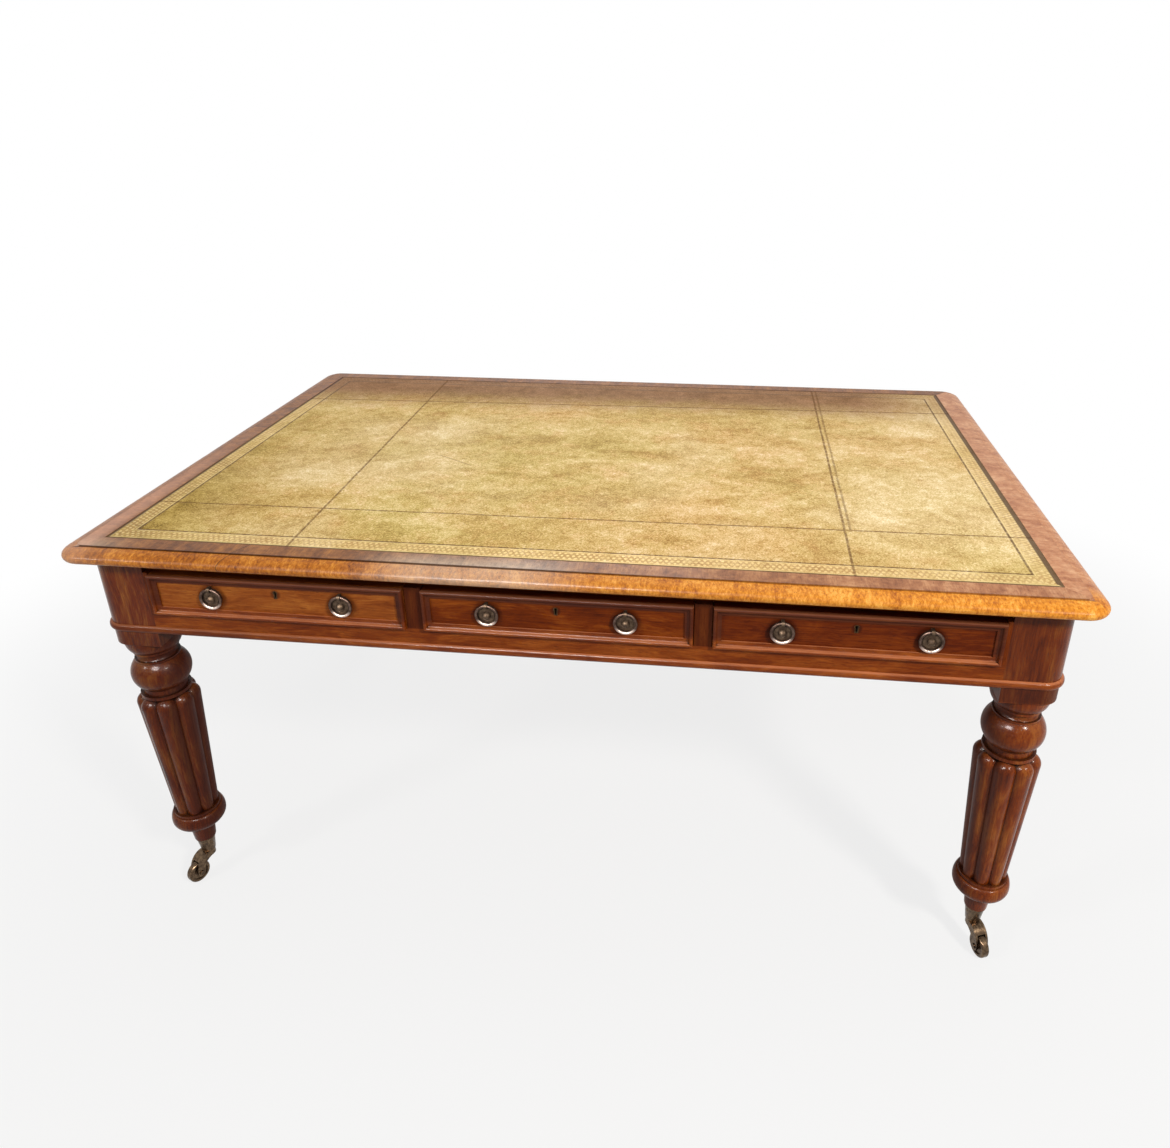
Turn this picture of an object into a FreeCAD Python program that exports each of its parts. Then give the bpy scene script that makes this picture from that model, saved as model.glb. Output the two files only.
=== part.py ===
import FreeCAD, Part
import math
import os

# A library table with a leather top, three drawers and four lobed legs on castors.
# Millimetres. X runs along the table, the drawers open towards -Y, Z is up.
# The origin is on the floor under the middle of the table.

# Whole table
top_width = 1600.0
top_depth = 1045.0
table_height = 740.0
top_thickness = 23.0

# Top border with its thumb-moulded edge
border_width = 57.0
top_corner_radius = 40.0
thumb_width = 26.0
thumb_step = 2.0
thumb_nose_drop = 14.5
thumb_return = 7.0

# Leather
leather_thickness = 1.2
leather_drop = 0.4

# Frieze
top_overhang = 33.0
frieze_height = 139.0
post_width = 93.0
post_corner_radius = 32.0
frieze_board_thickness = 25.0
front_rail_height = 40.0
front_rail_thickness = 30.0
top_rail_height = 25.0
top_rail_setback = 12.0
top_rail_thickness = 30.0
divider_width = 27.0
end_stile_width = 7.0
divider_depth = 40.0
tenon_length = 34.0
tenon_thickness = 10.0
tenon_shoulder = 4.0
bead_height = 13.0
bead_projection = 5.0
glue_block_length = 60.0
glue_block_leg = 28.0
glue_block_count = 3

# Drawer runners and stops
runner_ledge = 20.0
runner_height = 22.0
guide_height = 14.0
stop_length = 32.0
stop_height = 4.0
stop_spacing = 200.0
stop_clearance = 0.4

# Drawers
drawer_count = 3
drawer_depth = 560.0
drawer_side_clearance = 1.2
drawer_slide_clearance = 0.3
drawer_top_clearance = 2.0
drawer_front_thickness = 22.0
drawer_side_thickness = 10.0
drawer_side_drop = 13.0
drawer_back_thickness = 9.0
drawer_bottom_thickness = 6.0
drawer_bottom_rise = 6.0
drawer_groove_depth = 5.0
dovetail_count = 2
dovetail_length = 14.0
dovetail_width = 17.0
dovetail_taper = 2.5

# Moulding on the drawer fronts
moulding_width = 13.0
moulding_projection = 8.5
moulding_bead_width = 6.0
moulding_bead_side = 5.5
moulding_lip = 2.4
moulding_lip_width = 2.0

# Lock and keyhole liner
lock_width = 62.0
lock_height = 34.0
lock_thickness = 9.0
lock_face_thickness = 2.0
lock_face_margin = 7.0
keyhole_radius = 2.6
keyhole_slot_width = 3.2
keyhole_slot_length = 9.0
keyhole_liner_wall = 1.2
keyhole_liner_proud = 0.5
keyhole_rise = 14.0

# Ring pulls
pull_spacing = 217.0
pull_drop = 1.0
ring_radius = 19.0
ring_wire_radius = 2.4
ring_rose_clearance = 0.8
rose_radius = 17.0
rose_thickness = 2.2
rose_step_radius = 12.0
rose_step_height = 1.4
boss_radius = 7.0
boss_height = 9.5
knuckle_wall = 1.5
knuckle_width = 5.0
knuckle_clearance = 0.5
pull_bolt_radius = 2.5
pull_nut_radius = 6.0
pull_nut_thickness = 4.0

# Legs, from the block under the bead down to the castor
leg_block_height = 27.5
cap_radius = 46.0
cap_band_height = 2.0
cap_height = 27.0
cap_foot_radius = 34.0
upper_fillet_radius = 36.5
upper_fillet_height = 4.0
upper_neck_radius = 33.0
upper_neck_waist_radius = 30.5
upper_neck_height = 12.0
ball_fillet_radius = 36.5
ball_fillet_height = 3.0
ball_radius = 48.5
ball_end_radius = 34.5
ball_height = 57.5
lower_cove_radius = 36.0
lower_cove_height = 9.0
upper_collar_radius = 41.0
upper_collar_height = 6.0
column_top_radius = 51.5
column_bottom_radius = 37.5
lobe_top_radius = 18.0
lobe_count = 8
lobe_turn = 26.0
lower_collar_radius = 40.5
lower_collar_height = 6.0
leg_ring_radius = 47.0
leg_ring_height = 32.0
leg_ring_foot_radius = 33.0
leg_neck_length = 42.0
leg_neck_top_radius = 23.0
leg_neck_bottom_radius = 19.0

# Castors
cup_base_height = 55.0
cup_height = 34.0
cup_top_radius = 17.0
cup_bottom_radius = 12.5
cup_wall = 2.0
cup_base_thickness = 6.0
cup_rim_radius = 18.0
cup_rim_height = 3.0
rivet_space = 4.0
stem_radius = 4.0
stem_clearance = 0.05
rivet_radius = 6.5
rivet_thickness = 2.6
swivel_gap = 0.35
horn_boss_radius = 11.0
horn_boss_height = 11.0
horn_width = 23.0
horn_end_radius = 7.5
horn_trail = 30.0
wheel_radius = 21.0
wheel_width = 13.5
wheel_edge_round = 3.5
wheel_dish_radius = 15.0
wheel_hub_radius = 7.0
wheel_dish_depth = 2.5
wheel_side_clearance = 0.8
wheel_rim_clearance = 2.5
axle_radius = 3.0
axle_clearance = 0.05
axle_head_radius = 4.6
axle_head_thickness = 1.8
cup_screw_radius = 1.5
cup_screw_length = 9.0
cup_screw_head_radius = 2.8
cup_screw_head_thickness = 1.4
cup_screw_head_proud = 0.5
cup_screw_count = 2

# One overrun for every cut that goes right through
overrun = 3.0

# Shares
quarter_round_share = 0.5523
lobe_core_share = 0.86
lock_rise_share = 0.62
screw_rise_share = 0.62

# Turn of each castor about its swivel, degrees from +X
castor_turns = {
    "front_left": 246.0,
    "front_right": 290.0,
    "back_left": 150.0,
    "back_right": 25.0,
}

# Levels and half sizes that follow from the sizes above
half_width = top_width / 2
half_depth = top_depth / 2
top_underside = table_height - top_thickness
frieze_bottom = top_underside - frieze_height
frieze_half_width = half_width - top_overhang
frieze_half_depth = half_depth - top_overhang
post_inner_x = frieze_half_width - post_width
post_inner_y = frieze_half_depth - post_width
leg_axis_x = frieze_half_width - post_width / 2
leg_axis_y = frieze_half_depth - post_width / 2
rail_top = frieze_bottom + front_rail_height
top_rail_bottom = top_underside - top_rail_height
front_face = -frieze_half_depth
back_board_face = frieze_half_depth - frieze_board_thickness
drawer_row_half = post_inner_x - end_stile_width
opening_width = (2 * drawer_row_half - (drawer_count - 1) * divider_width) / drawer_count
opening_step = opening_width + divider_width
drawer_width = opening_width - 2 * drawer_side_clearance
drawer_floor = rail_top + drawer_slide_clearance
drawer_top = top_rail_bottom - drawer_top_clearance
drawer_front_back = front_face + drawer_front_thickness
drawer_end = front_face + drawer_depth
drawer_side_top = drawer_top - drawer_side_drop
drawer_inside = drawer_width - 2 * drawer_side_thickness
drawer_bottom_low = drawer_floor + drawer_bottom_rise
drawer_bottom_high = drawer_bottom_low + drawer_bottom_thickness
drawer_middle = (drawer_floor + drawer_top) / 2
pull_height = drawer_middle - pull_drop
keyhole_height = drawer_middle + keyhole_rise
ring_centre_radius = ring_radius - ring_wire_radius
ring_y = front_face - rose_thickness - ring_rose_clearance - ring_wire_radius
cup_top = cup_base_height + cup_height
wheel_half_slot = wheel_width / 2 + wheel_side_clearance
leg_places = {
    "front_left": (-1, -1),
    "front_right": (1, -1),
    "back_left": (-1, 1),
    "back_right": (1, 1),
}
drawer_places = {"left": -1, "centre": 0, "right": 1}

up = FreeCAD.Vector(0, 0, 1)
along_x = FreeCAD.Vector(1, 0, 0)
along_y = FreeCAD.Vector(0, 1, 0)
origin = FreeCAD.Vector(0, 0, 0)


def point(x, y, z):
    return FreeCAD.Vector(x, y, z)


def block(x0, x1, y0, y1, z0, z1):
    """A box between two corners."""
    low = point(min(x0, x1), min(y0, y1), min(z0, z1))
    return Part.makeBox(abs(x1 - x0), abs(y1 - y0), abs(z1 - z0), low)


def line(start, end):
    return Part.makeLine(start, end)


def quarter(start, corner, end):
    """A quarter of an ellipse that leaves start towards corner and reaches end from it."""
    curve = Part.BezierCurve()
    first = start + (corner - start) * quarter_round_share
    second = end + (corner - end) * quarter_round_share
    curve.setPoles([start, first, second, end])
    return curve.toShape()


def arc(start, middle, end):
    return Part.Arc(start, middle, end).toShape()


def face(edges):
    return Part.Face(Part.Wire(edges))


def polygon(points):
    return Part.Face(Part.makePolygon(points + points[:1]))


def joined(first, others):
    """One solid from pieces that meet."""
    return first.fuse(others).removeSplitter()


def turned(shape, degrees):
    """A copy turned about the table's middle."""
    result = shape.copy()
    result.rotate(origin, up, degrees)
    return result


# Strips that run round a rounded rectangle, one length for each side

def strip_side(profile, half_length, half_across, radius):
    """One side of the strip: a straight run and half of each corner, facing -Y."""
    run = half_length - radius
    left_face = profile(-run, half_across)
    right_face = profile(run, half_across)
    straight = left_face.extrude(along_x * (2 * run))
    left_end = left_face.revolve(point(-run, radius - half_across, 0), up, -45)
    right_end = right_face.revolve(point(run, radius - half_across, 0), up, 45)
    return joined(straight, [left_end, right_end])


def border_profile(x, half_across):
    """The thumb moulding, from the corner's centre line out to the nose."""
    nose = -half_across
    inner = nose + top_corner_radius
    crease = nose + thumb_width
    under = nose + thumb_return
    nose_z = table_height - thumb_nose_drop
    step_z = table_height - thumb_step
    a = point(x, inner, table_height)
    b = point(x, crease, table_height)
    c = point(x, crease, step_z)
    d = point(x, nose, nose_z)
    e = point(x, under, top_underside)
    f = point(x, inner, top_underside)
    upper = quarter(c, point(x, nose, step_z), d)
    lower = quarter(d, point(x, nose, top_underside), e)
    return face([line(a, b), line(b, c), upper, lower, line(e, f), line(f, a)])


def border_side(half_length, half_across):
    """A mitred length of the top border, facing -Y."""
    edge = strip_side(border_profile, half_length, half_across, top_corner_radius)
    outer_x = half_length - top_corner_radius
    outer_y = top_corner_radius - half_across
    inner_x = half_length - border_width
    inner_y = border_width - half_across
    flat = polygon([
        point(-outer_x, outer_y, top_underside),
        point(outer_x, outer_y, top_underside),
        point(inner_x, inner_y, top_underside),
        point(-inner_x, inner_y, top_underside),
    ])
    return joined(edge, [flat.extrude(up * top_thickness)])


def border_end(side):
    return turned(border_side(half_depth, half_width), 90 * side)


def top_panel():
    x = half_width - border_width
    y = half_depth - border_width
    return block(-x, x, -y, y, top_underside, table_height - leather_drop - leather_thickness)


def leather():
    x = half_width - border_width
    y = half_depth - border_width
    surface = table_height - leather_drop
    return block(-x, x, -y, y, surface - leather_thickness, surface)


def bead_profile(x, half_across):
    """Half round, with its flat side on the frieze."""
    wall = -half_across
    nose = wall - bead_projection
    middle = frieze_bottom + bead_height / 2
    low = point(x, wall, frieze_bottom)
    tip = point(x, nose, middle)
    high = point(x, wall, frieze_bottom + bead_height)
    lower = quarter(low, point(x, nose, low.z), tip)
    upper = quarter(tip, point(x, nose, high.z), high)
    return face([lower, upper, line(high, low)])


def beads():
    """Four lengths of bead that meet at the middle of each rounded corner."""
    sides = []
    for number in range(4):
        sizes = (frieze_half_width, frieze_half_depth)
        if number % 2:
            sizes = (frieze_half_depth, frieze_half_width)
        side = strip_side(bead_profile, sizes[0], sizes[1], post_corner_radius)
        sides.append(turned(side, 90 * number))
    return Part.makeCompound(sides)


# Rails and boards of the frieze, each with a tenon at both ends

def rail_tenons(y0, y1, z0, z1):
    """The two tenons of a rail that runs along X between the posts."""
    middle = (y0 + y1) / 2
    half = tenon_thickness / 2
    reach = post_inner_x + tenon_length
    low = z0 + tenon_shoulder
    high = z1 - tenon_shoulder
    left = block(-reach, -post_inner_x, middle - half, middle + half, low, high)
    right = block(post_inner_x, reach, middle - half, middle + half, low, high)
    return [left, right]


def rail(y0, y1, z0, z1):
    body = block(-post_inner_x, post_inner_x, y0, y1, z0, z1)
    return joined(body, rail_tenons(y0, y1, z0, z1))


def front_rail():
    return rail(front_face, front_face + front_rail_thickness, frieze_bottom, rail_top)


def top_rail():
    front = front_face + top_rail_setback
    return rail(front, front + top_rail_thickness, top_rail_bottom, top_underside)


def back_frieze():
    return rail(back_board_face, frieze_half_depth, frieze_bottom, top_underside)


def end_frieze(side):
    """The board between the posts of one end, with its tenons."""
    outer = side * frieze_half_width
    inner = side * (frieze_half_width - frieze_board_thickness)
    middle = (outer + inner) / 2
    half = tenon_thickness / 2
    reach = post_inner_y + tenon_length
    low = frieze_bottom + tenon_shoulder
    high = top_underside - tenon_shoulder
    body = block(outer, inner, -post_inner_y, post_inner_y, frieze_bottom, top_underside)
    tongue = block(middle - half, middle + half, -reach, reach, low, high)
    return joined(body, [tongue])


def uprights():
    """Two dividers between the drawers and a slim stile against each front post."""
    back = front_face + divider_depth
    half = divider_width / 2
    found = []
    for side in (-1, 1):
        x = side * opening_step / 2
        found.append(block(x - half, x + half, front_face, back, rail_top, top_rail_bottom))
        inner = side * drawer_row_half
        outer = side * post_inner_x
        found.append(block(inner, outer, front_face, back, rail_top, top_rail_bottom))
    return Part.makeCompound(found)


def runner(guide_left, guide_right, ledge_left, ledge_right):
    """A runner under the drawer sides with the guide that stands on it."""
    low = rail_top - runner_height
    start = front_face + front_rail_thickness
    ledge = block(ledge_left, ledge_right, start, back_board_face, low, rail_top)
    guide_start = front_face + divider_depth
    guide = block(guide_left, guide_right, guide_start, back_board_face, rail_top, rail_top + guide_height)
    return joined(ledge, [guide])


def runners():
    """An inner runner behind each divider, an outer one behind each end stile."""
    half = divider_width / 2
    found = []
    for side in (-1, 1):
        x = side * opening_step / 2
        found.append(runner(x - half, x + half, x - half - runner_ledge, x + half + runner_ledge))
        inner = side * drawer_row_half
        outer = side * post_inner_x
        found.append(runner(inner, outer, inner - side * runner_ledge, outer))
    return Part.makeCompound(found)


def stops():
    """Two small blocks on the front rail behind each drawer front."""
    near = drawer_front_back + stop_clearance
    far = front_face + front_rail_thickness
    found = []
    for place in drawer_places.values():
        for side in (-1, 1):
            x = place * opening_step + side * stop_spacing / 2
            half = stop_length / 2
            found.append(block(x - half, x + half, near, far, rail_top, rail_top + stop_height))
    return Part.makeCompound(found)


def glue_block(x, y, degrees):
    """A three-sided block in the angle between a frieze board and the top."""
    half = glue_block_length / 2
    corner = point(-half, 0, top_underside)
    side = polygon([corner, corner - up * glue_block_leg, corner - along_y * glue_block_leg])
    shape = side.extrude(along_x * glue_block_length)
    shape.rotate(origin, up, degrees)
    shape.translate(point(x, y, 0))
    return shape


def glue_blocks():
    found = []
    board_x = frieze_half_width - frieze_board_thickness
    for number in range(glue_block_count):
        step = (number + 1) / (glue_block_count + 1)
        x = post_inner_x * (2 * step - 1)
        y = post_inner_y * (2 * step - 1)
        found.append(glue_block(x, back_board_face, 0))
        found.append(glue_block(board_x, y, -90))
        found.append(glue_block(-board_x, y, 90))
    return Part.makeCompound(found)


# Legs

def leg_levels():
    """Heights of the joints of the turning, from the block down."""
    z = {}
    z["block"] = frieze_bottom - leg_block_height
    z["cap"] = z["block"] - cap_height
    z["fillet"] = z["cap"] - upper_fillet_height
    z["ball_fillet"] = z["fillet"] - upper_neck_height
    z["ball_top"] = z["ball_fillet"] - ball_fillet_height
    z["ball_foot"] = z["ball_top"] - ball_height
    z["cove"] = z["ball_foot"] - lower_cove_height
    z["column_top"] = z["cove"] - upper_collar_height
    z["neck_top"] = cup_top + leg_neck_length
    z["ring_top"] = z["neck_top"] + leg_ring_height
    z["column_foot"] = z["ring_top"] + lower_collar_height
    return z


def leg_turning(z):
    """Everything that is round about the leg's axis, with the column's core."""
    lobe_circle_top = column_top_radius - lobe_top_radius
    taper = column_bottom_radius / column_top_radius
    core_top = lobe_circle_top * lobe_core_share
    core_foot = core_top * taper
    ring_middle = z["neck_top"] + leg_ring_height / 2
    ball_middle = z["ball_foot"] + ball_height / 2
    spigot_foot = cup_base_height + cup_base_thickness + rivet_space
    cap_top = z["block"] - cap_band_height

    def at(radius, height):
        return point(radius, 0, height)

    ring_nose = at(leg_ring_radius, ring_middle)
    ring_foot = at(leg_ring_foot_radius, z["neck_top"])
    ring_top = at(lower_collar_radius, z["ring_top"])
    ball_foot = at(ball_end_radius, z["ball_foot"])
    ball_top = at(ball_end_radius, z["ball_top"])
    neck_foot = at(upper_neck_radius, z["ball_fillet"])
    neck_top = at(upper_neck_radius, z["fillet"])
    neck_waist = at(upper_neck_waist_radius, (z["ball_fillet"] + z["fillet"]) / 2)
    cap_foot = at(cap_foot_radius, z["cap"])
    cap_edge = at(cap_radius, cap_top)
    runs = [
        [at(0, spigot_foot), at(cup_bore(spigot_foot), spigot_foot), at(cup_bore(cup_top), cup_top)],
        [at(leg_neck_bottom_radius, cup_top), at(leg_neck_top_radius, z["neck_top"]), ring_foot],
        quarter(ring_foot, at(leg_ring_radius, z["neck_top"]), ring_nose),
        quarter(ring_nose, at(leg_ring_radius, z["ring_top"]), ring_top),
        [at(lower_collar_radius, z["column_foot"]), at(core_foot, z["column_foot"])],
        [at(core_top, z["column_top"]), at(upper_collar_radius, z["column_top"])],
        [at(upper_collar_radius, z["cove"]), at(lower_cove_radius, z["cove"]), ball_foot],
        arc(ball_foot, at(ball_radius, ball_middle), ball_top),
        [at(ball_fillet_radius, z["ball_top"]), at(ball_fillet_radius, z["ball_fillet"]), neck_foot],
        arc(neck_foot, neck_waist, neck_top),
        [at(upper_fillet_radius, z["fillet"]), at(upper_fillet_radius, z["cap"]), cap_foot],
        quarter(cap_foot, at(cap_radius, z["cap"]), cap_edge),
        [at(cap_radius, z["block"]), at(0, z["block"]), at(0, spigot_foot)],
    ]
    return outline(runs).revolve(origin, up, 360)


def outline(runs):
    """A face bounded by runs of points and curves, in order."""
    edges = []
    last = None
    for run in runs:
        if isinstance(run, list):
            for next_point in run:
                if last is not None and last.distanceToPoint(next_point) > 0:
                    edges.append(line(last, next_point))
                last = next_point
        else:
            edges.append(run)
            last = run.valueAt(run.LastParameter)
    return face(edges)


def leg_lobe(z, degrees):
    """One lobe of the column, a slim cone with a rounded top."""
    taper = column_bottom_radius / column_top_radius
    foot_radius = lobe_top_radius * taper
    circle_top = column_top_radius - lobe_top_radius
    circle_foot = circle_top * taper
    foot = point(circle_foot, 0, z["column_foot"] - lower_collar_height / 2)
    head = point(circle_top, 0, z["column_top"] - lobe_top_radius)
    lean = head - foot
    length = lean.Length
    shoulder = point(lobe_top_radius, 0, length)
    tip = point(0, 0, length + lobe_top_radius)
    rounding = quarter(shoulder, point(lobe_top_radius, 0, tip.z), tip)
    side = outline([[origin, point(foot_radius, 0, 0), shoulder], rounding, [origin]])
    lobe = side.revolve(origin, up, 360)
    lobe.Placement = FreeCAD.Placement(foot, FreeCAD.Rotation(up, lean))
    lobe.rotate(origin, up, degrees)
    return lobe


def leg_post(z):
    """The square post with one rounded corner, down to the foot of its block."""
    half = post_width / 2
    radius = post_corner_radius
    foot = z["block"]
    turn = half - radius
    bend = point(-turn - radius * math.cos(math.pi / 4), -turn - radius * math.sin(math.pi / 4), foot)
    rounded = arc(point(-half, -turn, foot), bend, point(-turn, -half, foot))
    plan = outline([
        [point(half, -half, foot), point(half, half, foot), point(-half, half, foot), point(-half, -turn, foot)],
        rounded,
        [point(half, -half, foot)],
    ])
    return plan.extrude(up * (top_underside - foot))


def leg_blank():
    """A leg about its own axis, rounded corner towards -X and -Y."""
    z = leg_levels()
    lobes = [leg_lobe(z, lobe_turn + number * 360 / lobe_count) for number in range(lobe_count)]
    return joined(leg_turning(z), lobes + [leg_post(z)])


def leg(blank, place):
    """A leg in its place, with its mortises and screw holes."""
    x_side, y_side = leg_places[place]
    turns = {(-1, -1): 0, (1, -1): 90, (1, 1): 180, (-1, 1): 270}
    shape = turned(blank, turns[(x_side, y_side)])
    shape.translate(point(x_side * leg_axis_x, y_side * leg_axis_y, 0))
    cutters = [end_frieze(x_side)] + cup_screws(place)
    if y_side < 0:
        cutters += [front_rail(), top_rail()]
    else:
        cutters.append(back_frieze())
    return shape.cut(cutters)


# Castors

def cup_bore(height):
    """Inner radius of the tapering cup at a height."""
    share = (height - cup_base_height) / cup_height
    return cup_bottom_radius + (cup_top_radius - cup_bottom_radius) * share - cup_wall


def castor_move(shape, place):
    """A castor piece turned to its trail and moved under its leg."""
    x_side, y_side = leg_places[place]
    result = turned(shape, castor_turns[place])
    result.translate(point(x_side * leg_axis_x, y_side * leg_axis_y, 0))
    return result


def cup(place):
    base_top = cup_base_height + cup_base_thickness
    rim_foot = cup_top - cup_rim_height
    hole = stem_radius + stem_clearance
    rim_share = (rim_foot - cup_base_height) / cup_height
    rim_wall = cup_bottom_radius + (cup_top_radius - cup_bottom_radius) * rim_share
    corners = [
        (hole, cup_base_height),
        (cup_bottom_radius, cup_base_height),
        (rim_wall, rim_foot),
        (cup_rim_radius, rim_foot),
        (cup_rim_radius, cup_top),
        (cup_bore(cup_top), cup_top),
        (cup_bore(base_top), base_top),
        (hole, base_top),
    ]
    side = polygon([point(radius, 0, height) for radius, height in corners])
    shape = castor_move(side.revolve(origin, up, 360), place)
    return shape.cut(cup_screws(place))


def cup_screws(place):
    """The screws that go through the cup into the foot of the leg."""
    height = cup_base_height + cup_height * screw_rise_share
    outside = cup_bore(height) + cup_wall + cup_screw_head_proud
    found = []
    for number in range(cup_screw_count):
        head = Part.makeCylinder(
            cup_screw_head_radius, cup_screw_head_thickness, point(outside, 0, height), -along_x)
        shank = Part.makeCylinder(
            cup_screw_radius, cup_screw_length, point(outside, 0, height), -along_x)
        screw = joined(head, [shank])
        screw.rotate(origin, up, 90 + number * 360 / cup_screw_count)
        found.append(castor_move(screw, place))
    return found


def horn(place):
    """Swivel stem, boss and the two arms that carry the wheel."""
    top = cup_base_height - swivel_gap
    low = top - horn_boss_height
    axle_z = wheel_radius
    outer = horn_trail + horn_end_radius
    inner = horn_trail - horn_end_radius
    half = horn_width / 2
    end = arc(point(outer, -half, axle_z), point(horn_trail, -half, axle_z - horn_end_radius),
              point(inner, -half, axle_z))
    side = outline([
        [point(0, -half, top), point(horn_boss_radius, -half, top)],
        quarter(point(horn_boss_radius, -half, top), point(outer, -half, top), point(outer, -half, axle_z)),
        end,
        quarter(point(inner, -half, axle_z), point(inner, -half, low), point(0, -half, low)),
        [point(0, -half, top)],
    ])
    arms = side.extrude(along_y * horn_width)
    boss = Part.makeCylinder(horn_boss_radius, horn_boss_height, point(0, 0, low))
    base_top = cup_base_height + cup_base_thickness
    stem = Part.makeCylinder(stem_radius, base_top + swivel_gap - top, point(0, 0, top))
    rivet = Part.makeCylinder(rivet_radius, rivet_thickness, point(0, 0, base_top + swivel_gap))
    slot = Part.makeCylinder(
        wheel_radius + wheel_rim_clearance, 2 * wheel_half_slot,
        point(horn_trail, -wheel_half_slot, axle_z), along_y)
    hole = Part.makeCylinder(
        axle_radius, horn_width + 2 * overrun, point(horn_trail, -half - overrun, axle_z), along_y)
    shape = joined(arms, [boss]).cut([slot, hole])
    return castor_move(joined(shape, [stem, rivet]), place)


def axle(place):
    half = horn_width / 2
    pin = Part.makeCylinder(axle_radius, horn_width, point(horn_trail, -half, wheel_radius), along_y)
    near = Part.makeCylinder(
        axle_head_radius, axle_head_thickness, point(horn_trail, -half, wheel_radius), -along_y)
    far = Part.makeCylinder(
        axle_head_radius, axle_head_thickness, point(horn_trail, half, wheel_radius), along_y)
    return castor_move(joined(pin, [near, far]), place)


def wheel(place):
    """A solid wheel with dished sides and a rounded tread, bored for its axle."""
    half = wheel_width / 2
    bore = axle_radius + axle_clearance
    dish = half - wheel_dish_depth
    tread = half - wheel_edge_round
    edge = wheel_radius - wheel_edge_round

    def at(radius, across):
        return point(radius, across, 0)

    near_edge = quarter(at(edge, -half), at(wheel_radius, -half), at(wheel_radius, -tread))
    far_edge = quarter(at(wheel_radius, tread), at(wheel_radius, half), at(edge, half))
    side = outline([
        [at(bore, half), at(bore, -half), at(wheel_hub_radius, -half), at(wheel_hub_radius, -dish)],
        [at(wheel_dish_radius, -dish), at(wheel_dish_radius, -half), at(edge, -half)],
        near_edge,
        [at(wheel_radius, tread)],
        far_edge,
        [at(wheel_dish_radius, half), at(wheel_dish_radius, dish), at(wheel_hub_radius, dish)],
        [at(wheel_hub_radius, half), at(bore, half)],
    ])
    shape = side.revolve(origin, along_y, 360)
    shape.translate(point(horn_trail, 0, wheel_radius))
    return castor_move(shape, place)


# Drawers

def drawer_bottom(x):
    half = drawer_inside / 2 + drawer_groove_depth
    start = drawer_front_back - drawer_groove_depth
    return block(x - half, x + half, start, drawer_end, drawer_bottom_low, drawer_bottom_high)


def dovetails(x, side):
    """The tails at the front of one drawer side."""
    outer = x + side * drawer_width / 2
    inner = outer - side * drawer_side_thickness
    low = min(outer, inner)
    root = drawer_front_back
    tip = root - dovetail_length
    span = drawer_side_top - drawer_bottom_high
    pitch = span / dovetail_count
    found = []
    for number in range(dovetail_count):
        middle = drawer_bottom_high + (number + 0.5) * pitch
        wide = dovetail_width / 2
        slim = wide - dovetail_taper
        tail = polygon([
            point(low, root, middle - slim),
            point(low, tip, middle - wide),
            point(low, tip, middle + wide),
            point(low, root, middle + slim),
        ])
        found.append(tail.extrude(along_x * drawer_side_thickness))
    return found


def drawer_side(x, side):
    outer = x + side * drawer_width / 2
    inner = outer - side * drawer_side_thickness
    body = block(outer, inner, drawer_front_back, drawer_end, drawer_floor, drawer_side_top)
    return joined(body, dovetails(x, side)).cut(drawer_bottom(x))


def drawer_sides(x):
    return Part.makeCompound([drawer_side(x, -1), drawer_side(x, 1)])


def drawer_back(x):
    half = drawer_inside / 2
    near = drawer_end - drawer_back_thickness
    return block(x - half, x + half, near, drawer_end, drawer_bottom_high, drawer_side_top)


def keyhole(x, wall, start, depth):
    """A keyhole-shaped prism, widened all round by wall."""
    radius = keyhole_radius + wall
    round_part = Part.makeCylinder(radius, depth, point(x, start, keyhole_height), along_y)
    half = keyhole_slot_width / 2 + wall
    low = keyhole_height - keyhole_slot_length - wall
    slot = block(x - half, x + half, start, start + depth, low, keyhole_height)
    return joined(round_part, [slot])


def lock_case(x):
    half = lock_width / 2
    low = keyhole_height - lock_height * lock_rise_share
    high = low + lock_height
    near = drawer_front_back - lock_thickness
    case = block(x - half, x + half, near, drawer_front_back, low, high)
    margin = lock_face_margin
    plate = block(x - half - margin, x + half + margin, drawer_front_back - lock_face_thickness,
                  drawer_front_back, low, high)
    return joined(case, [plate])


def drawer_lock(x):
    """The lock let into the back of the front, and the brass liner of its keyhole."""
    start = front_face - keyhole_liner_proud
    depth = drawer_front_back - lock_thickness - start
    liner = keyhole(x, keyhole_liner_wall, start, depth)
    opening = keyhole(x, 0, start - overrun, depth + overrun)
    return Part.makeCompound([lock_case(x), liner.cut(opening)])


def drawer_front(x):
    half = drawer_width / 2
    board = block(x - half, x + half, front_face, drawer_front_back, drawer_floor, drawer_top)
    depth = drawer_front_thickness + 2 * overrun
    cutters = dovetails(x, -1) + dovetails(x, 1) + [drawer_bottom(x), lock_case(x)]
    cutters.append(keyhole(x, keyhole_liner_wall, front_face - overrun, drawer_front_thickness))
    for side in (-1, 1):
        place = point(x + side * pull_spacing / 2, front_face - overrun, pull_height)
        cutters.append(Part.makeCylinder(pull_bolt_radius, depth, place, along_y))
    return board.cut(cutters)


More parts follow.
